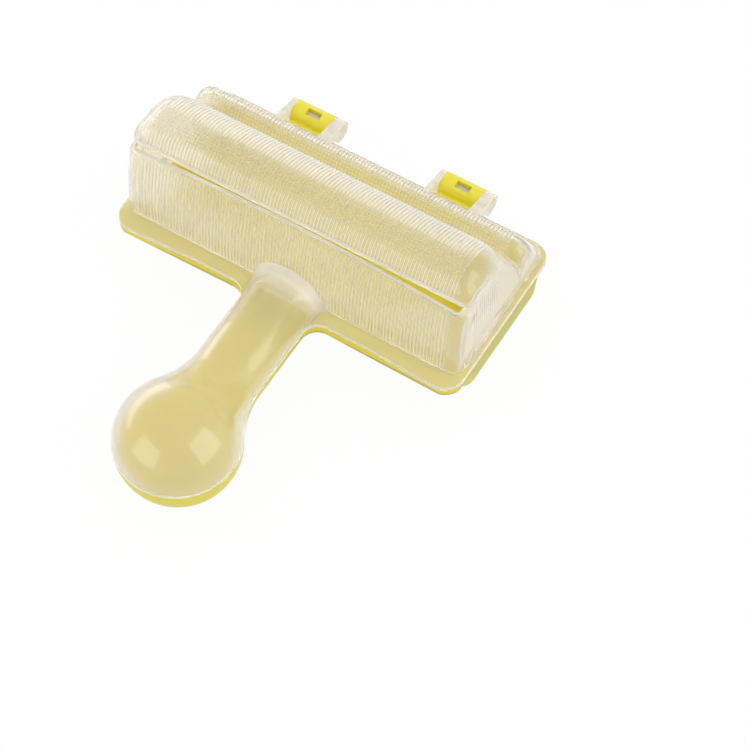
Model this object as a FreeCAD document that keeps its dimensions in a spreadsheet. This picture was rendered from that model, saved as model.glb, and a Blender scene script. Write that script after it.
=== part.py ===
"""Hand-held shaker mould for rice rolls: two hollow halves, hinged at the back.

The mould is T-shaped.  Its long body lies along X, the handle runs forward (-Y) to a ball end, and the
two snap hinges stand on the back edge (+Y).  Both halves are drawn about the parting plane, at height
zero, and are then lifted so that the mould stands on the plane Z = 0.  Lengths are in millimetres.
"""
import FreeCAD, Part
import math
import os

import Sketcher

# Driving dimensions.  Angles are in degrees, heights are above the parting plane.
DIMENSIONS = {
    # walls and parting plane
    "wall": 1.7,
    "parting_gap": 0.2,
    "overcut": 1.0,
    # flange, in plan
    "flange_half_length": 68.3,
    "flange_half_width": 34.2,
    "flange_corner": 5.2,
    "flange_waist": 1.0,
    "upper_flange_thick": 2.0,
    "lower_flange_thick": 2.7,
    "lower_flange_proud": 0.4,
    "handle_root_fillet": 6.0,
    # vaulted roof: common to its three lobes
    "roof_half_length": 65.5,
    "end_draft": 3.4,
    # front wall with the lip and the ledge that carries the slit
    "front_wall_radius": 112.0,
    "front_wall_centre_y": 84.06,
    "front_wall_centre_height": 1.3,
    "lip_height": 32.2,
    "ledge_rise": 0.333,
    "ledge_end_y": -10.0,
    "front_corner": 6.0,
    # main arch
    "arch_centre_y": -10.0,
    "arch_centre_height": 26.0,
    "arch_radius": 16.4,
    "arch_front_radius": 9.8,
    "arch_crown_angle": 97.3,
    "arch_back_angle": 28.0,
    "arch_end_round": 5.0,
    "chamber_end_bevel": 2.2,
    # low rear hump
    "hump_centre_y": 18.4,
    "hump_centre_height": 17.0,
    "hump_radius": 4.0,
    "hump_front_angle": 150.0,
    "hump_back_angle": 31.9,
    "hump_root_height": 10.0,
    "hump_end_round": 3.5,
    "hump_corner": 9.5,
    "hump_foot_y": 33.6,
    # slit for the seaweed sheet
    "slit_half_length": 61.0,
    "slit_end_width": 2.1,
    "slit_middle_width": 0.9,
    "slit_floor_height": 29.6,
    "slit_end_round": 1.0,
    # rice tray
    "tray_depth": 22.5,
    "tray_half_length": 65.8,
    "tray_end_lean": 3.0,
    "tray_floor_front_y": -18.0,
    "tray_front_lean": 24.0,
    "tray_floor_back_y": 30.0,
    "tray_back_lean": 7.6,
    "tray_round": 5.5,
    # handle and ball end
    "handle_radius": 12.8,
    "handle_root_radius": 14.6,
    "handle_root_length": 9.0,
    "handle_root_y": -27.0,
    "upper_hollow_y": -28.4,
    "lower_hollow_y": -30.6,
    "lower_root_y": -16.0,
    "ball_radius": 22.5,
    "ball_y": -94.8,
    "neck_fillet": 8.0,
    # snap hinges
    "hinge_y": 39.7,
    "hinge_spacing": 61.2,
    "pin_radius": 2.0,
    "pin_clearance": 0.06,
    "barrel_radius": 3.7,
    "arm_inner_x": 7.3,
    "arm_outer_x": 11.6,
    "arm_slope": 17.5,
    "arm_root_y": 27.0,
    "arm_notch_y": 35.0,
    "barrel_bore_radius": 2.3,
    "barrel_bore_depth": 3.4,
    "clip_radius": 4.1,
    "clip_half_width": 7.1,
    "clip_mouth": 35.0,
    "clip_bridge_end_y": 36.6,
    "window_length": 6.3,
    "window_front_y": 37.7,
    "window_back_y": 40.4,
}


class Size:
    """A length or angle with its present value and the spreadsheet expression that yields it."""

    def __init__(self, value, text):
        self.value = value
        self.text = text

    def combine(self, other, sign, value):
        return Size(value, f"({self.text} {sign} {size(other).text})")

    def __add__(self, other):
        return self.combine(other, "+", self.value + size(other).value)

    def __sub__(self, other):
        return self.combine(other, "-", self.value - size(other).value)

    def __mul__(self, other):
        return self.combine(other, "*", self.value * size(other).value)

    def __truediv__(self, other):
        return self.combine(other, "/", self.value / size(other).value)

    def __neg__(self):
        return Size(-self.value, f"(0 - {self.text})")


def size(number):
    """Turns a plain number into a Size and leaves a Size as it is."""
    return number if isinstance(number, Size) else Size(float(number), f"{float(number)}")


def cosine(angle):
    return Size(math.cos(math.radians(angle.value)), f"cos({angle.text})")


def sine(angle):
    return Size(math.sin(math.radians(angle.value)), f"sin({angle.text})")


def tangent(angle):
    return Size(math.tan(math.radians(angle.value)), f"tan({angle.text})")


def root(number):
    return Size(math.sqrt(number.value), f"sqrt({number.text})")


def on_circle(centre, radius, angle):
    """The point of a circle at an angle from its first axis."""
    return (centre[0] + radius * cosine(angle), centre[1] + radius * sine(angle))


def make_sheet(doc):
    """Writes the driving dimensions into a spreadsheet and returns them as a Size for each name."""
    sheet = doc.addObject("Spreadsheet::Sheet", "Sizes")
    for row, (name, value) in enumerate(DIMENSIONS.items(), start=1):
        sheet.set(f"A{row}", name)
        sheet.set(f"B{row}", str(value))
        sheet.setAlias(f"B{row}", name)
    doc.recompute()
    return {name: Size(value, f"Sizes.{name}") for name, value in DIMENSIONS.items()}


doc = FreeCAD.newDocument("RiceMould")
D = make_sheet(doc)
ZERO = size(0)
HALF_GAP = D["parting_gap"] / 2


def bind(item, name, value):
    """Binds a property of an object to the expression of a Size."""
    item.setExpression(name, value.text)


def new_body(name):
    return doc.addObject("PartDesign::Body", name)


def origin_feature(body, role):
    """The plane or axis of a body's own origin that has the given role."""
    return next(item for item in body.Origin.OriginFeatures if item.Role == role)


def new_sketch(body, name, plane, offset=ZERO):
    """A sketch on one of the body's origin planes, moved along that plane's normal."""
    sketch = body.newObject("Sketcher::SketchObject", name)
    sketch.AttachmentSupport = [(origin_feature(body, plane), "")]
    sketch.MapMode = "FlatFace"
    sketch.AttachmentOffset = FreeCAD.Placement(FreeCAD.Vector(0, 0, offset.value), FreeCAD.Rotation())
    bind(sketch, ".AttachmentOffset.Base.z", offset)
    return sketch


def pin_point(sketch, geometry, position, point):
    """Fixes a sketch point to the distances from the origin that its Sizes give."""
    for kind, value in zip(("DistanceX", "DistanceY"), point):
        index = sketch.addConstraint(Sketcher.Constraint(kind, -1, 1, geometry, position, value.value))
        bind(sketch, f"Constraints[{index}]", value)


def arc_geometry(start, end, radius, turn):
    """The shorter arc from start to end: turn is +1 counter-clockwise and -1 clockwise."""
    across = FreeCAD.Vector(end.x - start.x, end.y - start.y, 0)
    left = FreeCAD.Vector(-across.y, across.x, 0).normalize()
    rise = math.sqrt(max(radius**2 - (across.Length / 2) ** 2, 0))
    centre = start + across * 0.5 + left * (rise * turn)
    first, last = (start, end) if turn > 0 else (end, start)
    angles = [math.atan2(p.y - centre.y, p.x - centre.x) for p in (first, last)]
    circle = Part.Circle(centre, FreeCAD.Vector(0, 0, 1), radius)
    return Part.ArcOfCircle(circle, angles[0], angles[1])


def add_outline(sketch, start, *segments):
    """Draws a closed outline.  A segment is an end point, or an end point, a radius and a turn."""
    points = [start] + [segment[:2] for segment in segments]
    vectors = [FreeCAD.Vector(p[0].value, p[1].value, 0) for p in points]
    ends = []
    for number, segment in enumerate(segments):
        first, last = vectors[number], vectors[number + 1]
        turn = segment[3] if len(segment) > 2 else 1
        if len(segment) > 2:
            geometry = sketch.addGeometry(arc_geometry(first, last, segment[2].value, turn), False)
            index = sketch.addConstraint(Sketcher.Constraint("Radius", geometry, segment[2].value))
            bind(sketch, f"Constraints[{index}]", segment[2])
        else:
            geometry = sketch.addGeometry(Part.LineSegment(first, last), False)
        ends.append((geometry, 1 if turn > 0 else 2, 2 if turn > 0 else 1))
        pin_point(sketch, geometry, ends[-1][1], points[number])
    for (geometry, _, last), (following, first, _) in zip(ends, ends[1:] + ends[:1]):
        sketch.addConstraint(Sketcher.Constraint("Coincident", geometry, last, following, first))
    return sketch


def add_circle(sketch, centre, radius):
    """Draws a circle about a fixed centre."""
    middle = FreeCAD.Vector(centre[0].value, centre[1].value, 0)
    geometry = sketch.addGeometry(Part.Circle(middle, FreeCAD.Vector(0, 0, 1), radius.value), False)
    pin_point(sketch, geometry, 3, centre)
    index = sketch.addConstraint(Sketcher.Constraint("Radius", geometry, radius.value))
    bind(sketch, f"Constraints[{index}]", radius)
    return sketch


def add_feature(body, kind, name, profile, length=None, **settings):
    """Adds a PartDesign feature on a profile and recomputes, so that the next one can read it."""
    feature = body.newObject(f"PartDesign::{kind}", name)
    feature.Profile = profile
    if length is not None:
        bind(feature, "Length", length)
    for key, value in settings.items():
        setattr(feature, key, value)
    doc.recompute()
    return feature


def cut_feature(body, kind, name, profile, length=None, **settings):
    """Adds a Pocket or Groove and makes sure that it has taken material away."""
    before = body.Shape.Volume
    feature = add_feature(body, kind, name, profile, length, **settings)
    if not body.Shape.Volume < before - 1e-3:
        raise RuntimeError(f"{name} cuts nothing")
    return feature


def dress_edges(body, kind, name, width, chosen):
    """Fillets or chamfers the edges of the body's present shape that a test picks out."""
    edges = body.Shape.Edges
    names = [f"Edge{number}" for number, edge in enumerate(edges, start=1) if chosen(edge)]
    base = body.Tip
    feature = body.newObject(f"PartDesign::{kind}", name)
    feature.Base = (base, names)
    bind(feature, {"Fillet": "Radius", "Chamfer": "Size"}[kind], width)
    doc.recompute()
    return feature


def draft_ends(body, name, angle, downwards=False):
    """Leans both end faces of a body inwards, upwards or downwards from the parting plane."""
    reach = max(abs(face.CenterOfMass.x) for face in body.Shape.Faces)
    ends = [
        f"Face{number}"
        for number, face in enumerate(body.Shape.Faces, start=1)
        if abs(abs(face.CenterOfMass.x) - reach) < 1e-6
    ]
    base = body.Tip
    draft = body.newObject("PartDesign::Draft", name)
    draft.Base = (base, ends)
    draft.NeutralPlane = (origin_feature(body, "XY_Plane"), [""])
    draft.Reversed = downwards
    bind(draft, "Angle", angle)
    doc.recompute()
    return draft


def repeat_hinge(body, name, features):
    """Repeats the features of the left hinge at the right one."""
    pattern = body.newObject("PartDesign::LinearPattern", name)
    pattern.Originals = features
    pattern.Direction = (origin_feature(body, "X_Axis"), [""])
    bind(pattern, "Length", D["hinge_spacing"])
    pattern.Occurrences = 2
    body.Tip = pattern
    doc.recompute()
    return pattern


# --- roof: three lobes, each drawn once for its outside and once, inset by the wall, for its hollow ---


def roof_lobe(name, inset, outline, joint, end_round):
    """A lobe of the roof: an outline padded along X, with leaning ends and rounded end edges.

    The hollow's end edges are bevelled instead, or stay sharp inside a small round.  The edges of the two
    faces at the floor and at the joint with the next lobe stay sharp too.
    """
    body = new_body(name)
    sketch = add_outline(new_sketch(body, f"{name}Outline", "YZ_Plane"), *outline)
    length = (D["roof_half_length"] - inset) * 2
    add_feature(body, "Pad", f"{name}Pad", sketch, length, SideType="Symmetric")
    draft_ends(body, f"{name}Draft", D["end_draft"])
    near_end = DIMENSIONS["roof_half_length"] * 0.9
    floor = min(vertex.Z for vertex in body.Shape.Vertexes)

    def is_rounded(edge):
        middle = edge.valueAt((edge.FirstParameter + edge.LastParameter) / 2)
        at_end = min(abs(vertex.X) for vertex in edge.Vertexes) > near_end and abs(middle.x) > near_end
        return at_end and middle.z > floor + 0.1 and not joint(middle)

    if inset is ZERO:
        dress_edges(body, "Fillet", f"{name}Round", end_round, is_rounded)
    elif end_round.value > DIMENSIONS["arch_end_round"] - 1e-6:
        dress_edges(body, "Chamfer", f"{name}Bevel", D["chamber_end_bevel"], is_rounded)
    return body


def front_wall_y(inset, height):
    """Where the leaning, slightly bowed front wall stands at a height."""
    rise = height - D["front_wall_centre_height"]
    radius = D["front_wall_radius"] - inset
    return D["front_wall_centre_y"] - root(radius * radius - rise * rise)


def front_lobe(name, inset, floor):
    """The front wall and the sloping ledge behind its lip, up to a joint inside the main arch."""
    lip_height = D["lip_height"] - inset
    lip_y = front_wall_y(inset, lip_height)
    end_y = D["ledge_end_y"]
    end_height = lip_height + (end_y - lip_y) * D["ledge_rise"]
    outline = [
        (front_wall_y(inset, floor), floor),
        (end_y, floor),
        (end_y, end_height),
        (lip_y, lip_height),
        (front_wall_y(inset, floor), floor, D["front_wall_radius"] - inset, 1),
    ]
    return roof_lobe(name, inset, outline, lambda middle: middle.y > lip_y.value, D["front_corner"])


def arch_lobe(name, inset, floor):
    """The main arch: a tight front arc, a wide crown arc and a straight back flank."""
    centre = (D["arch_centre_y"], D["arch_centre_height"])
    radius = D["arch_radius"] - inset
    front_radius = D["arch_front_radius"] - inset
    crown = D["arch_crown_angle"]
    front_centre = on_circle(centre, D["arch_radius"] - D["arch_front_radius"], crown)
    front_y = front_centre[0] - front_radius
    back = on_circle(centre, radius, D["arch_back_angle"])
    foot_y = back[0] + (back[1] - floor) * tangent(D["arch_back_angle"])
    outline = [
        (front_y, floor),
        (foot_y, floor),
        back,
        (*on_circle(centre, radius, crown), radius, 1),
        (front_y, front_centre[1], front_radius, 1),
        (front_y, floor),
    ]
    return roof_lobe(name, inset, outline, lambda middle: False, D["arch_end_round"])


def hump_lobe(name, inset, floor):
    """The low hump behind the arch, with its leaning back wall and its large back corners."""
    centre = (D["hump_centre_y"], D["hump_centre_height"])
    radius = D["hump_radius"] - inset
    front = on_circle(centre, radius, D["hump_front_angle"])
    back = on_circle(centre, radius, D["hump_back_angle"])
    root_y = front[0] + (front[1] - D["hump_root_height"]) / tangent(D["hump_front_angle"] - 90) * -1
    foot_y = back[0] + (back[1] - floor) * tangent(D["hump_back_angle"])
    outline = [
        (root_y, floor),
        (foot_y, floor),
        back,
        (*front, radius, 1),
        (root_y, D["hump_root_height"]),
        (root_y, floor),
    ]
    joint_y = root_y.value
    body = roof_lobe(name, inset, outline, lambda middle: middle.y < joint_y + 0.1, D["hump_end_round"])
    corner_x = D["roof_half_length"] - D["hump_corner"]
    corner_y = D["hump_foot_y"] - D["hump_corner"]
    corner_radius = D["hump_corner"] - inset
    for side, turn in (("Right", 1), ("Left", -1)):
        outer_x = (D["roof_half_length"] + D["overcut"]) * turn
        outer_y = D["hump_foot_y"] + D["overcut"]
        sketch = new_sketch(body, f"{name}Corner{side}", "XY_Plane")
        add_outline(
            sketch,
            ((corner_x + corner_radius) * turn, corner_y),
            (outer_x, corner_y),
            (outer_x, outer_y),
            (corner_x * turn, outer_y),
            (corner_x * turn, corner_y + corner_radius),
            ((corner_x + corner_radius) * turn, corner_y, corner_radius, -turn),
        )
        height = D["arch_centre_height"] * 4
        cut_feature(body, "Pocket", f"{name}Trim{side}", sketch, height, SideType="Symmetric")
    return body


def roof(name, inset, floor):
    """The three lobes of the roof at one inset from its outer face."""
    return [
        front_lobe(f"{name}Front", inset, floor),
        arch_lobe(f"{name}Arch", inset, floor),
        hump_lobe(f"{name}Hump", inset, floor),
    ]


def slit_cutter():
    """The slit along the front of the arch: straight behind, bowed in front, narrowest at its middle."""
    body = new_body("SlitCutter")
    front_centre_y = D["arch_centre_y"] + (D["arch_radius"] - D["arch_front_radius"]) * cosine(
        D["arch_crown_angle"]
    )
    back_y = front_centre_y - D["arch_front_radius"]
    front_y = back_y - D["slit_end_width"]
    end_x = D["slit_half_length"]
    bow_x = end_x - D["slit_end_round"]
    bow_rise = D["slit_end_width"] - D["slit_middle_width"]
    bow_radius = (bow_x * bow_x + bow_rise * bow_rise) / (bow_rise * 2)
    round_y = front_y + D["slit_end_round"]
    sketch = new_sketch(body, "SlitOutline", "XY_Plane", D["slit_floor_height"])
    add_outline(
        sketch,
        (-bow_x, front_y),
        (bow_x, front_y, bow_radius, -1),
        (end_x, round_y, D["slit_end_round"], 1),
        (end_x, back_y),
        (-end_x, back_y),
        (-end_x, round_y),
        (-bow_x, front_y, D["slit_end_round"], 1),
    )
    add_feature(body, "Pad", "SlitPad", sketch, D["lip_height"] - D["slit_floor_height"] + D["overcut"] * 3)
    return body


# --- flanges with the snap hinges on their back edges ---


def flange_outline(sketch, proud):
    """The flange in plan: drawn in at the waist, where fillets lead into the handle."""
    end_x = D["flange_half_length"] + proud
    side_y = D["flange_half_width"] + proud
    corner = D["flange_corner"]
    root_x = D["handle_radius"]
    fillet = D["handle_root_fillet"]
    waist_y = -side_y + D["flange_waist"]
    return add_outline(
        sketch,
        (-root_x, waist_y - fillet),
        (root_x, waist_y - fillet),
        (root_x + fillet, waist_y, fillet, -1),
        (end_x - corner, -side_y),
        (end_x, -side_y + corner, corner, 1),
        (end_x, side_y - corner),
        (end_x - corner, side_y, corner, 1),
        (-end_x + corner, side_y),
        (-end_x, side_y - corner, corner, 1),
        (-end_x, -side_y + corner),
        (-end_x + corner, -side_y, corner, 1),
        (-root_x - fillet, waist_y),
        (-root_x, waist_y - fillet, fillet, -1),
    )


def hinge_arm(body, name, inner_edge):
    """A hinge arm: a plate that slopes from the back of the roof to the round barrel about the axis."""
    axis = (D["hinge_y"], ZERO)
    barrel = D["barrel_radius"]
    top = on_circle(axis, barrel, size(90) - D["arm_slope"])
    root_height = top[1] + (top[0] - D["arm_root_y"]) * tangent(D["arm_slope"])
    sketch = new_sketch(body, f"{name}Outline", "YZ_Plane", inner_edge - D["hinge_spacing"] / 2)
    add_outline(
        sketch,
        (D["arm_root_y"], HALF_GAP),
        (D["arm_notch_y"], HALF_GAP),
        on_circle(axis, barrel, size(215)),
        (D["hinge_y"] + barrel, ZERO, barrel, 1),
        (*top, barrel, 1),
        (D["arm_root_y"], root_height),
        (D["arm_root_y"], HALF_GAP),
    )
    return add_feature(body, "Pad", name, sketch, D["arm_outer_x"] - D["arm_inner_x"])


def upper_flange():
    """The upper flange with its two pairs of hinge arms and the pins between them."""
    body = new_body("UpperFlange")
    axis = (D["hinge_y"], ZERO)
    left = D["hinge_spacing"] / 2
    plate = flange_outline(new_sketch(body, "UpperFlangeOutline", "XY_Plane", HALF_GAP), ZERO)
    add_feature(body, "Pad", "UpperFlangePad", plate, D["upper_flange_thick"] - HALF_GAP)
    plate_arm = hinge_arm(body, "PlateArm", -D["arm_outer_x"])
    tube_arm = hinge_arm(body, "TubeArm", D["arm_inner_x"])
    pin_sketch = new_sketch(body, "PinOutline", "YZ_Plane", -left - D["arm_inner_x"] - D["overcut"])
    add_circle(pin_sketch, axis, D["pin_radius"])
    pin = add_feature(body, "Pad", "Pin", pin_sketch, (D["arm_inner_x"] + D["overcut"]) * 2)
    bore_sketch = new_sketch(body, "BoreOutline", "YZ_Plane", -left + D["arm_outer_x"])
    add_circle(bore_sketch, axis, D["barrel_bore_radius"])
    bore = cut_feature(body, "Pocket", "Bore", bore_sketch, D["barrel_bore_depth"])
    repeat_hinge(body, "UpperHinges", [plate_arm, tube_arm, pin, bore])
    return body


def lower_flange():
    """The lower flange with its two spring clips, open below and windowed on top."""
    body = new_body("LowerFlange")
    thick = D["lower_flange_thick"]
    proud = D["lower_flange_proud"]
    plate = flange_outline(new_sketch(body, "LowerFlangeOutline", "XY_Plane", -thick), proud)
    add_feature(body, "Pad", "LowerFlangePad", plate, thick - HALF_GAP)

    axis = (D["hinge_y"], ZERO)
    left_x = -D["hinge_spacing"] / 2 - D["clip_half_width"]
    outer = D["clip_radius"]
    inner = D["pin_radius"] + D["pin_clearance"]
    back_lip = size(270) + D["clip_mouth"]
    front_lip = size(270) - D["clip_mouth"]
    ring_sketch = new_sketch(body, "ClipOutline", "YZ_Plane", left_x)
    add_outline(
        ring_sketch,
        on_circle(axis, outer, back_lip),
        (*on_circle(axis, outer, size(90)), outer, 1),
        (*on_circle(axis, outer, front_lip), outer, 1),
        on_circle(axis, inner, front_lip),
        (*on_circle(axis, inner, size(90)), inner, -1),
        (*on_circle(axis, inner, back_lip), inner, -1),
        on_circle(axis, outer, back_lip),
    )
    ring = add_feature(body, "Pad", "Clip", ring_sketch, D["clip_half_width"] * 2)

    bridge_sketch = new_sketch(body, "BridgeOutline", "YZ_Plane", left_x)
    start_y = D["flange_half_width"] - D["overcut"]
    end_y = D["clip_bridge_end_y"]
    add_outline(
        bridge_sketch,
        (start_y, -thick),
        (end_y, -thick),
        (end_y, -HALF_GAP),
        (start_y, -HALF_GAP),
        (start_y, -thick),
    )
    bridge = add_feature(body, "Pad", "Bridge", bridge_sketch, D["clip_half_width"] * 2)

    window_sketch = new_sketch(body, "WindowOutline", "XY_Plane")
    window_left = (D["hinge_spacing"] + D["window_length"]) / -2
    window_right = window_left + D["window_length"]
    add_outline(
        window_sketch,
        (window_left, D["window_front_y"]),
        (window_right, D["window_front_y"]),
        (window_right, D["window_back_y"]),
        (window_left, D["window_back_y"]),
        (window_left, D["window_front_y"]),
    )
    window = cut_feature(body, "Pocket", "Window", window_sketch, Type="ThroughAll", Reversed=True)
    repeat_hinge(body, "LowerHinges", [ring, bridge, window])
    return body


# --- handle with its ball end ---


def handle_half(name, inset, start_y, is_upper):
    """Half of the handle and ball end, or of the hollow inside them, turned about the handle's axis.

    The outside widens towards the body in a long curve over the handle's root.  Both end square at start_y.
    """
    body = new_body(name)
    sketch = new_sketch(body, f"{name}Outline", "XY_Plane")
    radius = D["handle_radius"] - inset
    ball = D["ball_radius"] - inset
    neck = D["neck_fillet"] + inset
    neck_x = D["handle_radius"] + D["neck_fillet"]
    centres = D["ball_radius"] + D["neck_fillet"]
    neck_rise = root(centres * centres - neck_x * neck_x)
    ball_share = ball / centres
    root_outline = [(radius, start_y)]
    if inset is ZERO:
        root_radius = D["handle_root_radius"]
        root_y = D["handle_root_y"]
        rise = root_radius - radius
        run = D["handle_root_length"]
        flare_radius = (rise * rise + run * run) / (rise * 2)
        root_outline = [(root_radius, start_y), (root_radius, root_y), (radius, root_y - run, flare_radius, 1)]
    add_outline(
        sketch,
        (ZERO, start_y),
        *root_outline,
        (radius, D["ball_y"] + neck_rise),
        (neck_x * ball_share, D["ball_y"] + neck_rise * ball_share, neck, 1),
        (ZERO, D["ball_y"] - ball, ball, -1),
        (ZERO, start_y),
    )
    axis = (sketch, ["V_Axis"])
    add_feature(body, "Revolution", f"{name}Turn", sketch, ReferenceAxis=axis, Angle=180, Reversed=is_upper)
    return body


# --- rice tray ---


def tray_block(name, inset, top_height):
    """The tray, or the hollow inside it: its section padded along X, with leaning ends and rounded edges."""
    body = new_body(name)
    floor = inset - D["tray_depth"]

    def wall_y(foot_y, lean, side, height):
        """Where a leaning wall stands at a height: side is -1 for the front wall and 1 for the back one."""
        return foot_y + ((height + D["tray_depth"]) * tangent(lean) - inset / cosine(lean)) * side

    front = (D["tray_floor_front_y"], D["tray_front_lean"], -1)
    back = (D["tray_floor_back_y"], D["tray_back_lean"], 1)
    sketch = new_sketch(body, f"{name}Outline", "YZ_Plane")
    add_outline(
        sketch,
        (wall_y(*front, top_height), top_height),
        (wall_y(*front, floor), floor),
        (wall_y(*back, floor), floor),
        (wall_y(*back, top_height), top_height),
        (wall_y(*front, top_height), top_height),
    )
    length = (D["tray_half_length"] - inset) * 2
    add_feature(body, "Pad", f"{name}Pad", sketch, length, SideType="Symmetric")
    draft_ends(body, f"{name}Draft", D["tray_end_lean"], downwards=True)

    def is_below_rim(edge):
        return min(vertex.Z for vertex in edge.Vertexes) < floor.value + 1e-3

    dress_edges(body, "Fillet", f"{name}Round", D["tray_round"] - inset, is_below_rim)
    return body


# --- the two mouldings ---


def moulding(name, label, solids, hollows):
    """One moulding: its solids fused, less its hollows, lifted to stand on the plane Z = 0."""
    fused = doc.addObject("Part::MultiFuse", f"{name}Solid")
    fused.Shapes = solids
    removed = doc.addObject("Part::MultiFuse", f"{name}Hollow")
    removed.Shapes = hollows
    shell = doc.addObject("Part::Cut", name)
    shell.Base = fused
    shell.Tool = removed
    shell.Label = label
    bind(shell, ".Placement.Base.z", D["tray_depth"])
    doc.recompute()
    return shell


def parting_trim(name):
    """A thin slab that keeps the two halves just apart, from the ball to the back of the flanges."""
    slab = doc.addObject("Part::Box", name)
    bind(slab, "Length", (D["flange_half_length"] + D["flange_corner"]) * 2)
    bind(slab, "Width", D["arm_notch_y"] - D["ball_y"] + D["ball_radius"] + D["overcut"])
    bind(slab, "Height", D["parting_gap"])
    bind(slab, ".Placement.Base.x", -D["flange_half_length"] - D["flange_corner"])
    bind(slab, ".Placement.Base.y", D["ball_y"] - D["ball_radius"] - D["overcut"])
    bind(slab, ".Placement.Base.z", -HALF_GAP)
    return slab


def upper_shell():
    """The translucent upper moulding."""
    wall = D["wall"]
    tube_start_y = D["handle_root_y"] + D["overcut"] / 2
    tube = handle_half("UpperHandle", ZERO, tube_start_y, True)
    tube_hollow = handle_half("UpperHandleHollow", wall, D["upper_hollow_y"], True)
    solids = [upper_flange(), tube, *roof("Roof", ZERO, ZERO)]
    hollows = [tube_hollow, slit_cutter(), parting_trim("UpperTrim"), *roof("Chamber", wall, -D["overcut"])]
    return moulding("UpperShell", "upper_shell", solids, hollows)


def lower_shell():
    """The yellow lower moulding."""
    wall = D["wall"]
    tube = handle_half("LowerHandle", ZERO, D["lower_root_y"], False)
    tube_hollow = handle_half("LowerHandleHollow", wall, D["lower_hollow_y"], False)
    solids = [lower_flange(), tube, tray_block("Tray", ZERO, ZERO)]
    hollows = [tube_hollow, parting_trim("LowerTrim"), tray_block("TrayHollow", wall, D["overcut"])]
    return moulding("LowerShell", "lower_shell", solids, hollows)


def check(parts):
    """Stops unless every object is computed and every part is one valid solid."""
    failed = [item.Name for item in doc.Objects if {"Invalid", "Error"} & set(item.State)]
    if failed:
        raise RuntimeError(f"not computed: {failed}")
    for part in parts:
        shape = part.Shape
        if shape.isNull() or not shape.isValid() or len(shape.Solids) != 1:
            raise RuntimeError(f"{part.Label} is not one valid solid")


parts = [upper_shell(), lower_shell()]
check(parts)
os.makedirs("parts", exist_ok=True)
for part in parts:
    part.Shape.exportStep(f"parts/{part.Label}.step")
    box = part.Shape.BoundBox
    print(f"{part.Label}: {part.Shape.Volume / 1000:.2f} cm3, Y {box.YMin:.2f} to {box.YMax:.2f}")
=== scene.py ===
"""Visual model of a hinged shaker mould for rice rolls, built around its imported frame.

Sizes are in millimetres.  Heights are above the parting plane of the two mouldings, and each finished mesh
is lifted and scaled into the frame, which is in metres and stands on the floor.
"""
import logging
import math
from dataclasses import dataclass, field
from enum import Enum
from typing import Callable, Iterable, Sequence

import bmesh
import bpy
from mathutils import Matrix, Vector


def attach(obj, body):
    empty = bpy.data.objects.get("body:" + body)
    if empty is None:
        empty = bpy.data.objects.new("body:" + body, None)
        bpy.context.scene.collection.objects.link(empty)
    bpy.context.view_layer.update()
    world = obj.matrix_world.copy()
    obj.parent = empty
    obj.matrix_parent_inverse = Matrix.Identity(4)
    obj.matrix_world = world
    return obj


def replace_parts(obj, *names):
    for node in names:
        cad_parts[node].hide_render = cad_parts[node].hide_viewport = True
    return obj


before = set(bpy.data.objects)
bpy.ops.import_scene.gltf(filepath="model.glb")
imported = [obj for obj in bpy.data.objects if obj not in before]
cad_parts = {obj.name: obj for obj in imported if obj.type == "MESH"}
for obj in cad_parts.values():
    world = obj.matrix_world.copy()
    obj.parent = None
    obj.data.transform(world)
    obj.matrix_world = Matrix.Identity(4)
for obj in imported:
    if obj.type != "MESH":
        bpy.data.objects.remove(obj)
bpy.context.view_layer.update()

MM = 0.001
TRAY_DEPTH = 22.5  # from the floor up to the parting plane
FLAT = 1e-3  # points this close to a plane lie on it
SHARP_ANGLE = 35.0  # edges that turn by more than this stay sharp
WHITE = "#FFFFFF"
LOG = logging.getLogger("rice_mould")


# --- geometry helpers ---


def polar(centre: Sequence[float], radius: float, degrees: float) -> Vector:
    """The point of a circle at an angle from its first axis."""
    angle = math.radians(degrees)
    return Vector((centre[0] + radius * math.cos(angle), centre[1] + radius * math.sin(angle)))


def arc(centre: Sequence[float], radius: float, start: float, end: float, count: int) -> list[Vector]:
    """Points along an arc, from one angle in degrees to another, both included."""
    return [polar(centre, radius, start + (end - start) * step / count) for step in range(count + 1)]


def line(first: Vector, last: Vector, count: int) -> list[Vector]:
    """Points along a straight run, from one end to the other, both included."""
    return [first.lerp(last, step / count) for step in range(count + 1)]


def ramp(value: float, low: float, high: float) -> float:
    """A smooth step that rises from 0 at low to 1 at high."""
    share = min(max((value - low) / (high - low), 0.0), 1.0)
    return share * share * (3 - 2 * share)


def wave(place: float, pitch: float) -> float:
    """A smooth wave that rises from 0 to 1 and falls back once in each pitch."""
    return 0.5 - 0.5 * math.cos(math.tau * place / pitch)


def thickness_layer(mesh: bmesh.types.BMesh) -> bmesh.types.BMLayerItem:
    """The vertex attribute that tells the frosted finish where the plastic is thick, made if it's missing."""
    return mesh.verts.layers.float.get("thick") or mesh.verts.layers.float.new("thick")


def add_grid(
    mesh: bmesh.types.BMesh,
    columns: int,
    rows: int,
    place: Callable[[int, int], Vector],
    thick: Callable[[int, int], float] | None = None,
) -> list[bmesh.types.BMVert]:
    """Adds a grid of faces and puts each of its vertices where a function says.

    Args:
        mesh: The mesh that the grid is added to.
        columns: The number of faces along the first direction.
        rows: The number of faces along the second direction.
        place: Gives a vertex's position for its column and row.
        thick: Gives how thick the plastic is at a vertex, from 0 to 1, for the finish.

    Returns:
        The grid's vertices, row by row.
    """
    layer = thickness_layer(mesh)
    made = bmesh.ops.create_grid(mesh, x_segments=columns, y_segments=rows, size=1.0)["verts"]
    for index, vertex in enumerate(made):
        row, column = divmod(index, columns + 1)
        vertex.co = place(column, row)
        if thick:
            vertex[layer] = thick(column, row)
    return made


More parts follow.
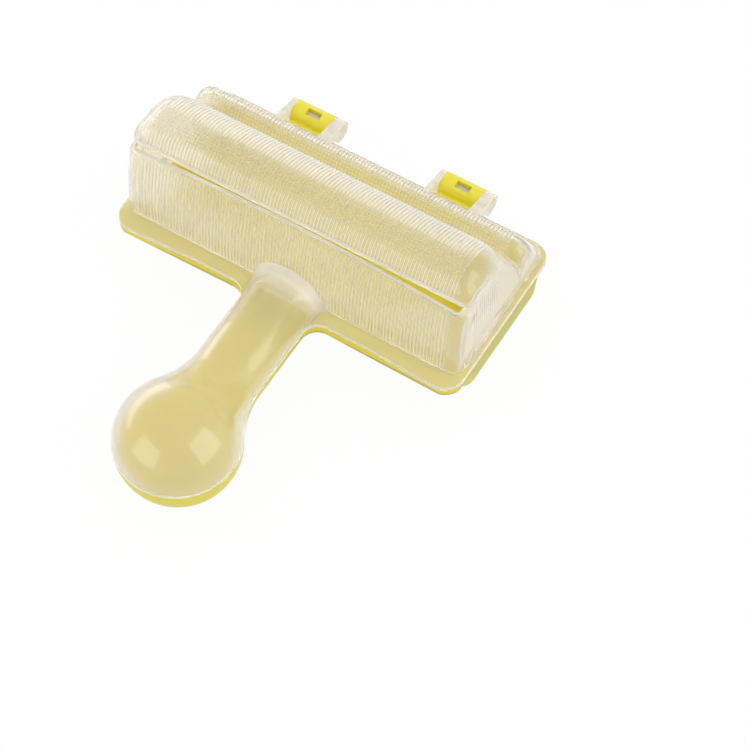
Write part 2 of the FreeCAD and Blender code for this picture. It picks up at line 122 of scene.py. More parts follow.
def add_band(mesh: bmesh.types.BMesh, loops: Sequence[Sequence[Vector]], thick: float = 0.0) -> None:
    """Adds a closed band of faces through loops that all have the same number of points.

    Args:
        mesh: The mesh that the band is added to.
        loops: The loops in order, each without a repeated first point.
        thick: How thick the plastic is along the band, from 0 to 1.
    """
    around = len(loops[0])

    def on_loop(column: int, row: int) -> Vector:
        """The point of a loop, which starts again after a full turn."""
        return loops[row][column % around]

    add_grid(mesh, around, len(loops) - 1, on_loop, lambda column, row: thick)


def open_edges(mesh: bmesh.types.BMesh, test: Callable[[Vector], bool]) -> list[bmesh.types.BMEdge]:
    """The edges with only one face whose two ends both pass a test."""
    return [
        edge
        for edge in mesh.edges
        if len(edge.link_faces) == 1 and all(test(vertex.co) for vertex in edge.verts)
    ]


def cap(mesh: bmesh.types.BMesh, axis: int, place: float) -> list[bmesh.types.BMFace]:
    """Fills the open loops that lie in one plane.

    Args:
        mesh: The mesh that holds the loops.
        axis: The axis that the plane stands across, from 0 to 2.
        place: Where on that axis it stands.

    Returns:
        The new faces.
    """
    edges = open_edges(mesh, lambda point: abs(point[axis] - place) < FLAT)
    made = bmesh.ops.triangle_fill(mesh, edges=edges, use_beauty=True)["geom"]
    return [item for item in made if isinstance(item, bmesh.types.BMFace)]


def weld(mesh: bmesh.types.BMesh, distance: float = 0.002) -> None:
    """Merges vertices that lie in the same place, and removes faces without area."""
    bmesh.ops.remove_doubles(mesh, verts=mesh.verts, dist=distance)
    bmesh.ops.dissolve_degenerate(mesh, dist=distance / 4, edges=mesh.edges)


def mesh_data(mesh: bmesh.types.BMesh, name: str) -> bpy.types.Mesh:
    """Turns a mesh into mesh data and frees it.

    Args:
        mesh: The mesh.
        name: The data's name.

    Returns:
        The mesh data.
    """
    data = bpy.data.meshes.new(name)
    mesh.to_mesh(data)
    mesh.free()
    return data


def new_object(name: str, data: bpy.types.ID) -> bpy.types.Object:
    """Puts some data into the scene.

    Args:
        name: The object's name.
        data: Its mesh, lamp or camera.

    Returns:
        The new object.
    """
    made = bpy.data.objects.new(name, data)
    bpy.context.scene.collection.objects.link(made)
    return made


def make_piece(
    mesh: bmesh.types.BMesh,
    name: str,
    body: str,
    material: bpy.types.Material,
    thick: Callable[[Vector], float] | None = None,
) -> bpy.types.Object:
    """Turns a finished mesh into an object that rides on a body of the frame.

    Args:
        mesh: The mesh, in millimetres about the parting plane.  It is freed.
        name: The piece's name.
        body: The body that it rides on.
        material: Its finish.
        thick: Gives how thick the plastic is at a point, from 0 to 1, or None where the mesh already says.

    Returns:
        The new object, at the origin and with its place in its mesh.
    """
    weld(mesh)
    if thick is not None:
        layer = thickness_layer(mesh)
        for vertex in mesh.verts:
            vertex[layer] = thick(vertex.co)
    bmesh.ops.recalc_face_normals(mesh, faces=mesh.faces)
    bmesh.ops.translate(mesh, verts=mesh.verts, vec=(0.0, 0.0, TRAY_DEPTH))
    bmesh.ops.scale(mesh, verts=mesh.verts, vec=(MM, MM, MM))
    faults = sum(len(edge.link_faces) != 2 for edge in mesh.edges)
    data = mesh_data(mesh, name)
    data.shade_smooth()
    data.set_sharp_from_angle(angle=math.radians(SHARP_ANGLE))
    data.materials.append(material)
    piece = new_object(name, data)
    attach(piece, body)
    LOG.info("%s: %d faces, %d open or doubled edges", name, len(data.polygons), faults)
    return piece


# --- finishes ---


def linear(colour: str) -> tuple[float, float, float, float]:
    """Turns an sRGB hex colour into linear light.

    Args:
        colour: The colour, as # and six digits.

    Returns:
        Its red, green, blue and alpha.
    """
    channels = [int(colour[start : start + 2], 16) / 255 for start in (1, 3, 5)]
    red, green, blue = (c / 12.92 if c <= 0.04045 else ((c + 0.055) / 1.055) ** 2.4 for c in channels)
    return (red, green, blue, 1.0)


def add_node(
    tree: bpy.types.NodeTree, kind: str, settings: dict | None = None, *inputs: object, **links: object
) -> bpy.types.Node:
    """Adds a node, sets its properties and sockets, and links sockets to other nodes' outputs.

    Args:
        tree: The node tree.
        kind: The node's type.
        settings: Values by the name of a property or an input socket.
        inputs: What the first sockets get, in order: a number or another node's output.
        links: Output sockets by the name of the input socket, with _ for each space.

    Returns:
        The new node.
    """
    node = tree.nodes.new(kind)
    for name, value in (settings or {}).items():
        if name in node.inputs:
            node.inputs[name].default_value = value
        else:
            setattr(node, name, value)
    for socket, given in zip(node.inputs, inputs):
        if isinstance(given, float):
            socket.default_value = given
        else:
            tree.links.new(given, socket)
    for name, output in links.items():
        tree.links.new(output, node.inputs[name.replace("_", " ")])
    return node


def new_material(name: str) -> tuple[bpy.types.Material, bpy.types.NodeTree]:
    """Makes a material with an empty node tree.

    Args:
        name: The material's name.

    Returns:
        The material and its tree.
    """
    material = bpy.data.materials.new(name)
    material.use_nodes = True
    material.node_tree.nodes.clear()
    return material, material.node_tree


def mottled(
    tree: bpy.types.NodeTree, size_mm: float, detail: float, tones: Sequence[str], ends: Sequence[float]
) -> bpy.types.NodeSocket:
    """Adds a colour that wavers between two tones, in soft patches that are fixed to the piece.

    Args:
        tree: The node tree.
        size_mm: The size of the patches.
        detail: How finely they break up.
        tones: The two tones.
        ends: The levels of the pattern at which each of them stands alone.

    Returns:
        The colour's output.
    """
    place = add_node(tree, "ShaderNodeTexCoord").outputs["Object"]
    settings = {"Scale": 1 / (size_mm * MM), "Detail": detail}
    level = add_node(tree, "ShaderNodeTexNoise", settings, Vector=place).outputs["Fac"]
    tone = add_node(tree, "ShaderNodeValToRGB", Fac=level)
    for element, colour, end in zip(tone.color_ramp.elements, tones, ends):
        element.color = linear(colour)
        element.position = end
    return tone.outputs["Color"]


@dataclass(frozen=True)
class YellowPolypropylene:
    """Polypropylene coloured right through, injection moulded with a satin face.

    It is opaque and even, with soft broad highlights and a barely uneven face from the mould.
    """

    tones: tuple[str, str] = ("#E5D835", "#EADF3E")
    tone_ends: tuple[float, float] = (0.3, 0.7)
    mottle_mm: float = 6.0
    mottle_detail: float = 3.0
    roughness: float = 0.38
    index: float = 1.49
    grain_mm: float = 0.5
    grain_detail: float = 2.0
    grain_height_mm: float = 0.05
    grain_strength: float = 0.06

    def build(self) -> bpy.types.Material:
        """Builds the material's nodes.

        Returns:
            The material.
        """
        material, tree = new_material("yellow_moulded_polypropylene")
        place = add_node(tree, "ShaderNodeTexCoord").outputs["Object"]
        fine = {"Scale": 1 / (self.grain_mm * MM), "Detail": self.grain_detail}
        grain = add_node(tree, "ShaderNodeTexNoise", fine, Vector=place).outputs["Fac"]
        relief = {"Strength": self.grain_strength, "Distance": self.grain_height_mm * MM}
        shader = add_node(
            tree,
            "ShaderNodeBsdfPrincipled",
            {"Roughness": self.roughness, "IOR": self.index},
            Base_Color=mottled(tree, self.mottle_mm, self.mottle_detail, self.tones, self.tone_ends),
            Normal=add_node(tree, "ShaderNodeBump", relief, Height=grain).outputs["Normal"],
        )
        add_node(tree, "ShaderNodeOutputMaterial", Surface=shader.outputs["BSDF"])
        return material


@dataclass(frozen=True)
class NaturalPolypropylene:
    """Natural, uncoloured polypropylene, injection moulded with a faintly frosted face.

    It lets most light through and blurs what lies behind it, over a milky haze of its own that is whiter
    where a rib makes the wall thicker.  Its skin keeps a clear, soft-edged gloss.
    """

    tones: tuple[str, str] = ("#F7F3E9", "#FBF8F0")
    tone_ends: tuple[float, float] = (0.0, 1.0)
    mottle_mm: float = 9.0
    mottle_detail: float = 2.0
    clear: float = 0.96
    thick_clear: float = 0.30
    edge_haze: float = 0.22
    edge_power: float = 3.0
    roughness: float = 0.2
    index: float = 1.49
    face_gloss: float = 0.2
    skin_roughness: float = 0.04
    glow: float = 0.12
    lamp_share: str = "#F6F5F0"

    def clearness(self, tree: bpy.types.NodeTree) -> bpy.types.NodeSocket:
        """Adds how much light passes: less where the plastic is thick, and less at a slant.

        Args:
            tree: The node tree.

        Returns:
            The share's output.
        """
        thick = add_node(tree, "ShaderNodeAttribute", {"attribute_name": "thick"}).outputs["Fac"]
        clear = add_node(
            tree, "ShaderNodeMapRange", {"To Min": self.clear, "To Max": self.thick_clear}, Value=thick
        )
        slant = add_node(tree, "ShaderNodeLayerWeight").outputs["Facing"]
        steep = add_node(tree, "ShaderNodeMath", {"operation": "POWER"}, slant, self.edge_power).outputs[0]
        passing = add_node(
            tree, "ShaderNodeMapRange", {"To Min": 1.0, "To Max": 1 - self.edge_haze}, Value=steep
        )
        factors = (clear.outputs["Result"], passing.outputs["Result"])
        return add_node(tree, "ShaderNodeMath", {"operation": "MULTIPLY"}, *factors).outputs[0]

    def build(self) -> bpy.types.Material:
        """Builds the material's nodes.

        Returns:
            The material.
        """
        material, tree = new_material("natural_frosted_polypropylene")
        colour = mottled(tree, self.mottle_mm, self.mottle_detail, self.tones, self.tone_ends)
        shader = add_node(
            tree,
            "ShaderNodeBsdfPrincipled",
            {
                "Roughness": self.roughness,
                "IOR": self.index,
                "Specular IOR Level": self.face_gloss,
                "Coat Weight": 1.0,
                "Coat Roughness": self.skin_roughness,
                "Coat IOR": self.index,
            },
            Base_Color=colour,
            Transmission_Weight=self.clearness(tree),
        )
        glow = add_node(tree, "ShaderNodeBsdfTranslucent", Color=colour)
        milky = add_node(tree, "ShaderNodeMixShader", None, self.glow, shader.outputs[0], glow.outputs[0])
        to_lamp = add_node(tree, "ShaderNodeLightPath").outputs["Is Shadow Ray"]
        through = add_node(tree, "ShaderNodeBsdfTransparent", {"Color": linear(self.lamp_share)})
        mixed = add_node(tree, "ShaderNodeMixShader", None, to_lamp, milky.outputs[0], through.outputs[0])
        add_node(tree, "ShaderNodeOutputMaterial", Surface=mixed.outputs[0])
        return material


# --- roof of the upper moulding ---


class Zone(Enum):
    """The stretches of the roof's cross-section that are ribbed in different ways."""

    WALL = "front wall"
    LIP = "lip and ledge"
    SLIT_FRONT = "front edge of the slit"
    SLIT_BACK = "back edge of the slit"
    BEAD = "bead along the arch's foot"
    ARCH = "main arch"
    FLANK = "back of the arch"
    HUMP = "rear hump"
    BACK = "back wall"


@dataclass
class Row:
    """A point of the roof's cross-section, as y and height, with how it moves as the ends are rounded."""

    point: Vector
    inward: Vector
    end_round: float
    zone: Zone
    run: float = 0.0


def mitre(first: Vector, second: Vector) -> Vector:
    """How far a corner between two faces moves for each millimetre that both faces move inwards."""
    return (first + second) / (1 + first.dot(second))


def meeting(first: Vector, first_in: Vector, second: Vector, second_in: Vector) -> Vector:
    """Where two faces of a cross-section meet.

    Args:
        first: A point of the first face.
        first_in: The first face's inward normal.
        second: A point of the second face.
        second_in: The second face's inward normal.

    Returns:
        The corner between them.
    """
    cross = first_in.x * second_in.y - first_in.y * second_in.x
    first_reach, second_reach = first_in.dot(first), second_in.dot(second)
    across = first_reach * second_in.y - second_reach * first_in.y
    rise = first_in.x * second_reach - second_in.x * first_reach
    return Vector((across, rise)) / cross


@dataclass
class RoofSection:
    """The roof's cross-section: front wall with lip and ledge, main arch, valley and low rear hump."""

    wall_centre: tuple[float, float] = (84.06, 1.3)
    wall_radius: float = 112.0
    foot_rise: float = 1.4
    foot_steps: int = 4
    lip_height: float = 32.2
    lip_drop: float = 0.5
    lip_softening: tuple[tuple[float, float], ...] = ((0.08, -0.18), (0.25, 0.0), (0.5, 0.16))
    lip_mitre_run: float = 16.0
    ledge_rise: float = 0.333
    bead: tuple[tuple[float, float], ...] = (
        (0.3, 0.15), (0.42, 0.45), (0.42, 0.75), (0.25, 1.05), (-0.05, 1.3), (-0.1, 1.7)
    )
    bead_height: float = 2.0
    foot_chamfer: float = 0.9
    arch_centre: tuple[float, float] = (-10.0, 26.0)
    arch_radius: float = 16.4
    front_radius: float = 9.8
    crown_angle: float = 97.3
    back_angle: float = 28.0
    flank_spread: float = 2.2
    valley_turn: tuple[float, float] = (0.04, 0.6)
    valley_lift: float = 0.15
    hump_centre: tuple[float, float] = (18.4, 17.0)
    hump_radius: float = 4.0
    hump_front_angle: float = 150.0
    hump_back_angle: float = 30.3
    back_steps: int = 10
    wall_round: float = 4.0
    lip_round: float = 4.0
    arch_round: float = 9.0
    valley_round: float = 5.5
    hump_round: float = 7.5
    back_round: float = 6.0
    least_round: float = 0.4

    @property
    def front_centre(self) -> Vector:
        """The centre of the arch's tight front arc."""
        return polar(self.arch_centre, self.arch_radius - self.front_radius, self.crown_angle)

    @property
    def slit_back(self) -> float:
        """Where the arch's front stands, which is also the slit's back edge."""
        return self.front_centre.x - self.front_radius

    @property
    def lip_corner(self) -> Vector:
        """How the corner between the front wall and the ledge moves as both are drawn in."""
        return mitre(Vector((1.0, 0.0)), Vector((self.ledge_rise, -1.0)).normalized())

    def wall_y(self, inset: float, height: float) -> float:
        """Where the front wall stands at a height."""
        rise = height - self.wall_centre[1]
        return self.wall_centre[0] - math.sqrt((self.wall_radius - inset) ** 2 - rise**2)

    def ledge_height(self, inset: float, y: float) -> float:
        """The height of the ledge behind the lip."""
        lip = self.lip_height - inset
        return lip + (y - self.wall_y(inset, lip)) * self.ledge_rise

    def stretch(
        self, inset: float, points: Sequence[Vector], inward: Vector, zone: Zone, *rounds: float
    ) -> list[Row]:
        """Makes rows that belong together.

        Args:
            inset: How far inside the outer face they lie.
            points: Their points.
            inward: How they move for each millimetre that the ends are drawn in.
            zone: Where they belong.
            rounds: The outer face's end round at the first of them and, where it changes, at the last.

        Returns:
            The rows in order.
        """
        rows = []
        for number, point in enumerate(points):
            share = number / max(len(points) - 1, 1)
            radius = rounds[0] + (rounds[-1] - rounds[0]) * share
            rows.append(Row(point, inward, max(radius - inset, self.least_round), zone))
        return rows

    def wall_rows(self, inset: float, foot: float, count: int) -> list[Row]:
        """The front wall, which turns into the lip's mitre near its top.

        Args:
            inset: How far inside the outer face it lies.
            foot: The height that it starts at.
            count: The number of steps up the wall.

        Returns:
            Its rows.
        """
        lip = self.lip_height - inset
        low, high = foot + self.foot_rise, lip - self.lip_drop
        foot_steps = 1 if inset else self.foot_steps
        heights = [foot + self.foot_rise * number / foot_steps for number in range(foot_steps)]
        heights += [low + (high - low) * number / count for number in range(count + 1)]
        rows = []
        for height in heights:
            turned = ramp(height, lip - self.lip_mitre_run, lip)
            inward = Vector((1.0, 0.0)).lerp(self.lip_corner, turned)
            point = Vector((self.wall_y(inset, height), height))
            rows += self.stretch(inset, [point], inward, Zone.WALL, self.wall_round)
        return rows

    def slit_rows(self, inset: float) -> list[Row]:
        """The lip, both edges of the slit and, on the outer face, the bead behind it.

        Args:
            inset: How far inside the outer face they lie.

        Returns:
            Their rows.
        """
        corner, back = self.lip_corner, self.slit_back
        lip = Vector((self.wall_y(inset, self.lip_height - inset), self.lip_height - inset))
        softened = [lip + Vector(move) for move in self.lip_softening]
        rows = self.stretch(inset, softened, corner, Zone.LIP, self.wall_round, self.lip_round)
        edges = [(back, Zone.SLIT_FRONT), (back + (self.foot_chamfer if inset else 0.0), Zone.SLIT_BACK)]
        if inset:
            edges.append((back + inset, Zone.ARCH))
        for y, zone in edges:
            point = Vector((y, self.ledge_height(inset, y)))
            rows += self.stretch(inset, [point], corner, zone, self.lip_round)
        for out, up in () if inset else self.bead:
            point = Vector((back - out, self.ledge_height(inset, back) + up))
            inward = corner.lerp(Vector((1.0, 0.0)), up / self.bead[-1][1])
            rows += self.stretch(inset, [point], inward, Zone.BEAD, self.lip_round)
        return rows

    def arch_rows(self, inset: float, step: float) -> list[Row]:
        """The main arch: its tight front arc, then the wide one over the crown.

        Args:
            inset: How far inside the outer face it lies.
            step: The distance between its rows.

        Returns:
            Its rows.
        """
        centre, radius = self.front_centre, self.front_radius - inset
        foot = self.ledge_height(inset, self.slit_back + inset) + (0.0 if inset else self.bead_height)
        start = 180 - math.degrees(math.asin(max(foot - centre.y, 0.0) / radius))
        count = max(round(math.radians(start - self.crown_angle) * radius / step), 4)
        rows = []
        for number, point in enumerate(arc(centre, radius, start, self.crown_angle, count)[1:], start=1):
            end_round = self.lip_round + (self.arch_round - self.lip_round) * ramp(number / count, 0.0, 1.0)
            rows += self.stretch(inset, [point], (centre - point).normalized(), Zone.ARCH, end_round)
        centre, radius = Vector(self.arch_centre), self.arch_radius - inset
        count = max(round(math.radians(self.crown_angle - self.back_angle) * radius / step), 6)
        for point in arc(centre, radius, self.crown_angle, self.back_angle, count)[1:]:
            rows += self.stretch(inset, [point], (centre - point).normalized(), Zone.ARCH, self.arch_round)
        return rows

    def valley_rows(self, inset: float, step: float) -> list[Row]:
        """The back of the arch and the valley, up to the hump's front.

        Args:
            inset: How far inside the outer face they lie.
            step: The distance between rows on the arch.

        Returns:
            Their rows.
        """
        top = polar(self.arch_centre, self.arch_radius - inset, self.back_angle)
        front = polar(self.hump_centre, self.hump_radius - inset, self.hump_front_angle)
        flank_in = -polar((0.0, 0.0), 1.0, self.back_angle)
        front_in = -polar((0.0, 0.0), 1.0, self.hump_front_angle)
        valley = meeting(top, flank_in, front, front_in)
        corner = mitre(flank_in, front_in)
        flank = line(top, valley, max(round((valley - top).length / (step * self.flank_spread)), 4))[1:-1]
        near, turned = self.valley_turn
        floor = (
            (valley.lerp(top, near), flank_in.lerp(corner, turned)),
            (valley + Vector((0.0, self.valley_lift)), corner),
        )
        rows = self.stretch(inset, flank, flank_in, Zone.FLANK, self.arch_round, self.valley_round)
        for point, inward in floor:
            rows += self.stretch(inset, [point], inward, Zone.FLANK, self.valley_round)
        rise = line(valley, front, max(round((front - valley).length / step), 2))[1:]
        down = Vector((0.0, -1.0))
        return rows + self.stretch(inset, rise, down, Zone.HUMP, self.valley_round, self.hump_round)

    def hump_rows(self, inset: float, foot: float, step: float) -> list[Row]:
        """The hump's crown and the leaning back wall below it.

        Args:
            inset: How far inside the outer face they lie.
            foot: The height that the wall ends at.
            step: The distance between rows on the crown.

        Returns:
            Their rows.
        """
        down, forward = Vector((0.0, -1.0)), Vector((-1.0, 0.0))
        radius = self.hump_radius - inset
        turn = math.radians(self.hump_front_angle - self.hump_back_angle)
        count = max(round(turn * radius / step), 5)
        crown = arc(self.hump_centre, radius, self.hump_front_angle, self.hump_back_angle, count)[1:]
        rows = self.stretch(inset, crown, down, Zone.HUMP, self.hump_round)
        crest = crown[-1]
        out = (crest.y - foot) * math.tan(math.radians(self.hump_back_angle))
        wall = line(crest, Vector((crest.x + out, foot)), self.back_steps)[1:]
        for number, point in enumerate(wall, start=1):
            share = number / self.back_steps
            end_round = self.hump_round + (self.back_round - self.hump_round) * share
            rows += self.stretch(inset, [point], down.lerp(forward, share), Zone.BACK, end_round)
        return rows

    def rows(self, inset: float, foot: float, step: float, wall_steps: int) -> list[Row]:
        """The section at one inset from its outer face, from the front foot to the back foot.

        Args:
            inset: How far inside the outer face the section lies.
            foot: The height that both walls end at.
            step: The distance between rows on the arch and hump.
            wall_steps: The number of steps up the front wall.

        Returns:
            The rows in order.
        """
        rows = self.wall_rows(inset, foot, wall_steps) + self.slit_rows(inset) + self.arch_rows(inset, step)
        rows += self.valley_rows(inset, step) + self.hump_rows(inset, foot, step)
        for previous, row in zip(rows, rows[1:]):
            row.run = previous.run + (row.point - previous.point).length
        return rows


@dataclass(frozen=True)
class Column:
    """A place along the roof: on the middle stretch, on the way to an end's round, or on that round."""

    middle_x: float
    share: float = 0.0
    angle: float = 0.0


@dataclass
class RibbedRoof:
    """The vaulted roof with its flange: one shell, ribbed outside and smooth inside."""

    section: RoofSection = field(default_factory=RoofSection)
    wall: float = 1.7
    half_length: float = 66.7
    end_lean: float = 0.6
    flange_top: float = 2.0
    underside: float = 0.1
    foot_fillet: float = 0.8
    # ribs
    rib_pitch: float = 1.3
    rib_depth: float = 0.3
    ribbed_half: float = 61.6
    crown_ribs_short: float = 1.0
    ribs_fade: tuple[float, float] = (-0.8, 0.2)
    wall_ribs_start: tuple[float, float] = (2.6, 4.0)
    wall_ribs_weaken: tuple[float, float] = (29.0, 31.5)
    wall_ribs_loss: float = 0.5
    back_ribs_start: tuple[float, float] = (3.0, 5.0)
    arch_ribs_start: tuple[float, float] = (34.2, 36.5)
    arch_foot_ribs: float = 0.15
    arch_dots_start: tuple[float, float] = (-18.0, -15.5)
    arch_dots_end: tuple[float, float] = (-9.5, -6.0)
    hump_dots_end: tuple[float, float] = (17.0, 19.0)
    end_rib_depth: float = 0.24
    end_ribs_start: tuple[float, float] = (14.0, 24.0)
    end_ribs_top: tuple[float, float] = (0.0, 1.5)
    # slit
    slit_half: float = 63.9
    slit_right_width: float = 2.5
    slit_left_width: float = 1.5
    slit_middle_width: float = 0.45
    slit_flare: float = 2.2
    slit_corner: float = 1.0
    slit_shut: float = 0.02
    slit_below_lip: float = 6.0
    lip_bow: float = 1.9
    # how milky the plastic is
    rib_haze: float = 0.5
    crown_haze: float = 0.70
    bead_haze: float = 0.35
    foot_haze: float = 0.15
    foot_haze_rise: float = 0.01
    # how finely the faces are divided
    steady_half: float = 57.2
    columns_per_rib: int = 4
    end_columns: int = 15
    round_steps: int = 28
    end_face_steps: int = 10
    outer_step: float = 0.41
    outer_wall_steps: int = 20
    inner_pitch: float = 2.0
    inner_step: float = 1.1
    inner_wall_steps: int = 12

    def end_x(self, inset: float, height: float) -> float:
        """Where the leaning end face stands at a height."""
        return self.half_length - inset - height * math.tan(math.radians(self.end_lean))

    def columns(self, pitch: float) -> list[Column]:
        """The columns from one end of the roof to the other.

        Args:
            pitch: The distance between columns on the steady middle stretch.

        Returns:
            The columns.  Each has its x on the middle stretch, its share of the way from there to the start
            of the end's round, and its angle round the end, in radians.
        """
        half, steps = self.steady_half, round(self.steady_half * 2 / pitch)
        middle = [Column(-half + half * 2 * number / steps) for number in range(steps + 1)]
        way = [number / self.end_columns for number in range(1, self.end_columns + 1)]
        turn = [math.pi / 2 * number / self.round_steps for number in range(1, self.round_steps + 1)]
        right = [(share, 0.0) for share in way] + [(1.0, angle) for angle in turn]
        left = [Column(-half, *place) for place in reversed(right)]
        return left + middle + [Column(half, *place) for place in right]

    def slit_width(self, x: float) -> float:
        """The slit's width, narrowest at the middle because its lip bows, and rounded off at its ends.

        Args:
            x: The place along the roof.

        Returns:
            The width there.
        """
        share = min(abs(x) / self.slit_half, 1.0)
        end_width = self.slit_right_width if x > 0 else self.slit_left_width
        width = self.slit_middle_width + (end_width - self.slit_middle_width) * share**self.slit_flare
        past = max(abs(x) - self.slit_half + self.slit_corner, 0.0) / self.slit_corner
        return width * math.sqrt(max(1 - past**2, 0.0)) if past < 1 else self.slit_shut

    def place(self, row: Row, column: Column, inset: float, foot: float) -> Vector:
        """Where a row and a column of the smooth roof cross.

        Args:
            row: The row of the section.
            column: The column along the roof.
            inset: How far inside the outer face the skin lies.
            foot: The height that it ends at.

        Returns:
            The point.
        """
        side = math.copysign(1.0, column.middle_x)
        middle_x = abs(column.middle_x)
        moved = row.point + row.inward * row.end_round * (1 - math.cos(column.angle))
        y, height = moved.x, max(moved.y, foot)
        start = self.end_x(inset, height) - row.end_round
        x = middle_x + (start - middle_x) * column.share + row.end_round * math.sin(column.angle)
        if row.zone in (Zone.WALL, Zone.LIP):
            bow = self.lip_bow * (1 - min(x / self.slit_half, 1.0) ** 2)
            y += bow * max(height / self.section.lip_height, 0.0) ** 2
        if row.zone is Zone.SLIT_FRONT:
            y -= self.slit_width(x * side)
            height -= self.slit_width(x * side) * self.section.ledge_rise
        return Vector((x * side, y, height))

    def ribbing(self, row: Row, point: Vector) -> tuple[float, float]:
        """How the ribs and dots shape a place.

        Args:
            row: The row of the section.
            point: The place on the smooth roof.

        Returns:
            How strongly the place is ribbed, and how much of the ribs' depth is cut there, both from 0 to 1.
        """
        half = self.ribbed_half - (0.0 if row.zone is Zone.WALL else self.crown_ribs_short)
        strength = 1 - ramp(abs(point.x), half + self.ribs_fade[0], half + self.ribs_fade[1])
        dots = 0.0
        if row.zone is Zone.WALL:
            left = 1 - self.wall_ribs_loss * ramp(point.z, *self.wall_ribs_weaken)
            strength *= ramp(point.z, *self.wall_ribs_start) * left
        elif row.zone in (Zone.LIP, Zone.SLIT_FRONT, Zone.SLIT_BACK, Zone.BEAD):
            strength = 0.0
        elif row.zone is Zone.BACK:
            strength *= ramp(point.z, *self.back_ribs_start)
        elif row.zone is Zone.ARCH:
            y = row.point.x
            if y < self.section.arch_centre[0]:
                foot = self.arch_foot_ribs
                strength *= foot + (1 - foot) * ramp(row.point.y, *self.arch_ribs_start)
            dots = ramp(y, *self.arch_dots_start) * (1 - ramp(y, *self.arch_dots_end))
        elif row.zone is Zone.HUMP:
            dots = 1 - ramp(row.point.x, *self.hump_dots_end)
        across = wave(point.x, self.rib_pitch)
        return strength, across + (1 - across) * wave(row.run, self.rib_pitch) * dots

    def add_skin(
        self, mesh: bmesh.types.BMesh, inset: float, foot: float, pitch: float, step: float, wall_steps: int
    ) -> None:
        """Adds one face of the roof, with its end faces, open at the foot and along the slit.

        Args:
            mesh: The mesh that the skin is added to.
            inset: How far inside the outer face it lies.  The outer face is the one with ribs.
            foot: The height that it ends at.
            pitch: The distance between columns.
            step: The distance between rows on the arch.
            wall_steps: The number of steps up the front wall.
        """
        rows = self.section.rows(inset, foot, step, wall_steps)
        columns = self.columns(pitch)

        def on_roof(column: int, number: int) -> Vector:
            """Where a vertex goes, on the ribbed face or the smooth one.

            Args:
                column: The number of its column.
                number: The number of its row.

            Returns:
                The point.
            """
            row = rows[number]
            point = self.place(row, columns[column], inset, foot)
            if not inset:
                strength, cut = self.ribbing(row, point)
                depth = strength * cut * self.rib_depth
                point.y += row.inward.x * depth
                point.z += row.inward.y * depth
                self.add_foot_fillet(point, columns[column], number == 0 or row.zone is Zone.WALL)
            return point

        def thick(column: int, number: int) -> float:
            """How thick the plastic is at a vertex.

            Args:
                column: The number of its column.
                number: The number of its row.

            Returns:
                The thickness, from 0 to 1.
            """
            row = rows[number]
            point = self.place(row, columns[column], inset, foot)
            if point.z < self.flange_top + self.foot_haze_rise:
                return self.foot_haze
            if inset:
                return 0.0
            if row.zone in (Zone.BEAD, Zone.LIP, Zone.SLIT_FRONT):
                return self.bead_haze
            strength, cut = self.ribbing(row, point)
            return strength * (1 - cut) * (self.rib_haze if row.zone is Zone.WALL else self.crown_haze)

        self.open_slit(mesh, rows, add_grid(mesh, len(columns) - 1, len(rows) - 1, on_roof, thick))
        for column in (columns[0], columns[-1]):
            tops = [self.place(row, column, inset, foot) for row in rows]
            self.add_end_face(mesh, tops, column, inset, foot)

    def add_end_face(
        self, mesh: bmesh.types.BMesh, tops: Sequence[Vector], column: Column, inset: float, foot: float
    ) -> None:
        """Adds the flat face that closes one end of a skin.

        Args:
            mesh: The mesh that holds the skin.
            tops: The points of the skin's last column.
            column: That column.
            inset: How far inside the outer face the skin lies.
            foot: The height that it ends at.
        """
        side = math.copysign(1.0, column.middle_x)

        def on_end(number: int, level: int) -> Vector:
            """Where a vertex goes.

            Args:
                number: The number of its row.
                level: How many steps below the section it lies.

            Returns:
                The point.
            """
            top = tops[number]
            height = top.z + (foot - top.z) * level / self.end_face_steps
            depth = 0.0
            if not inset and level:
                depth = self.end_rib_depth * wave(top.y, self.rib_pitch)
                depth *= ramp(height, *self.end_ribs_start) * ramp(top.z - height, *self.end_ribs_top)
            point = Vector(((self.end_x(inset, height) - depth) * side, top.y, height))
            if not inset:
                self.add_foot_fillet(point, column, False)
            return point

        add_grid(mesh, len(tops) - 1, self.end_face_steps, on_end)

    def add_foot_fillet(self, point: Vector, column: Column, is_front: bool) -> None:
        """Moves a point near the flange outwards, so that the wall runs into it in a small fillet.

        Args:
            point: The point.
            column: Its column.
            is_front: Whether it belongs to the front wall.
        """
        radius = self.foot_fillet
        rise = point.z - self.flange_top
        if rise < radius:
            reach = radius - math.sqrt(max(radius**2 - (radius - rise) ** 2, 0.0))
            point.y += reach * math.cos(column.angle) * (-1 if is_front else 1)
            point.x += reach * math.sin(column.angle) * math.copysign(1.0, point.x)

    def open_slit(
        self, mesh: bmesh.types.BMesh, rows: Sequence[Row], made: Sequence[bmesh.types.BMVert]
    ) -> None:
        """Takes away the faces of a skin's grid that cover the slit.

        Args:
            mesh: The mesh that holds the skin.
            rows: The skin's rows.
            made: The vertices of its grid.
        """
        front = [row.zone for row in rows].index(Zone.SLIT_FRONT)
        width = len(made) // len(rows)
        doomed = []
        for column in range(width - 1):
            corner, across = made[front * width + column], made[(front + 1) * width + column + 1]
            if max(abs(corner.co.x), abs(across.co.x)) < self.slit_half:
                doomed += [face for face in corner.link_faces if across in face.verts]
        bmesh.ops.delete(mesh, geom=doomed, context="FACES")

